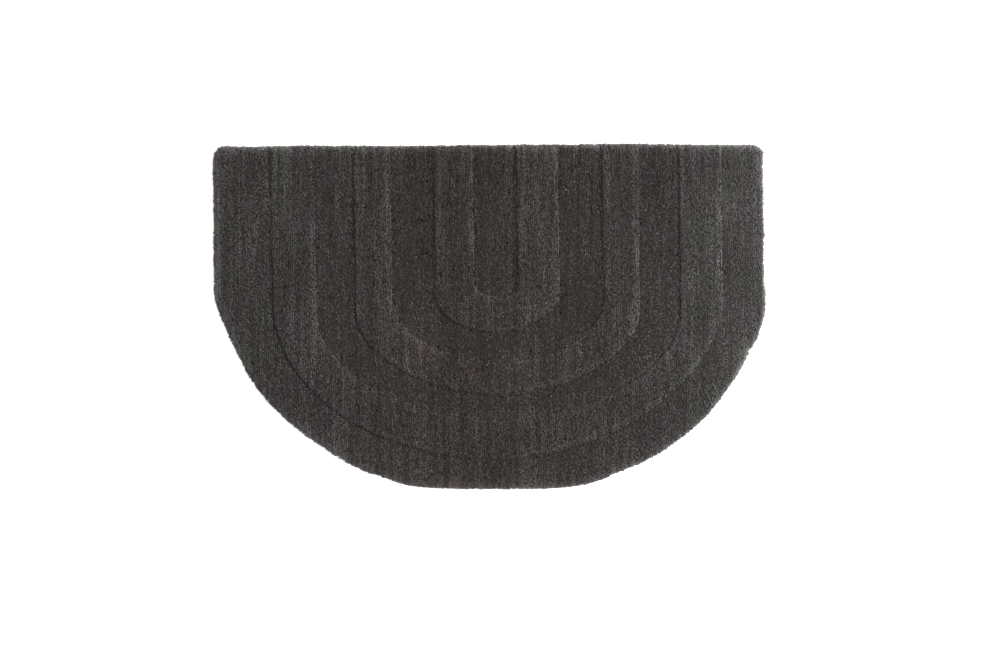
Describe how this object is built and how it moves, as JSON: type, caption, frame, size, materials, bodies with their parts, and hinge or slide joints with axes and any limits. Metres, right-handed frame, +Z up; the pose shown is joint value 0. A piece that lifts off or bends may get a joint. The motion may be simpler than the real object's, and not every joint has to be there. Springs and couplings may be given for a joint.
{
  "type": "hooked rug",
  "caption": "Half-round hooked pile rug that lies flat, with one straight edge and nested arches of longer pile raised in its short pile.",
  "frame": {"origin": "middle of the rug's box, on the floor", "axes": "+X along the straight edge, to the right in the picture; +Y towards the straight edge; +Z up, out of the pile"},
  "size_m": [0.8008, 0.499, 0.012],
  "materials": {
    "pile": "short cut wool pile, warm charcoal grey, matt"
  },
  "bodies": {
    "root": {"rug": "pile"}
  },
  "joints": []
}
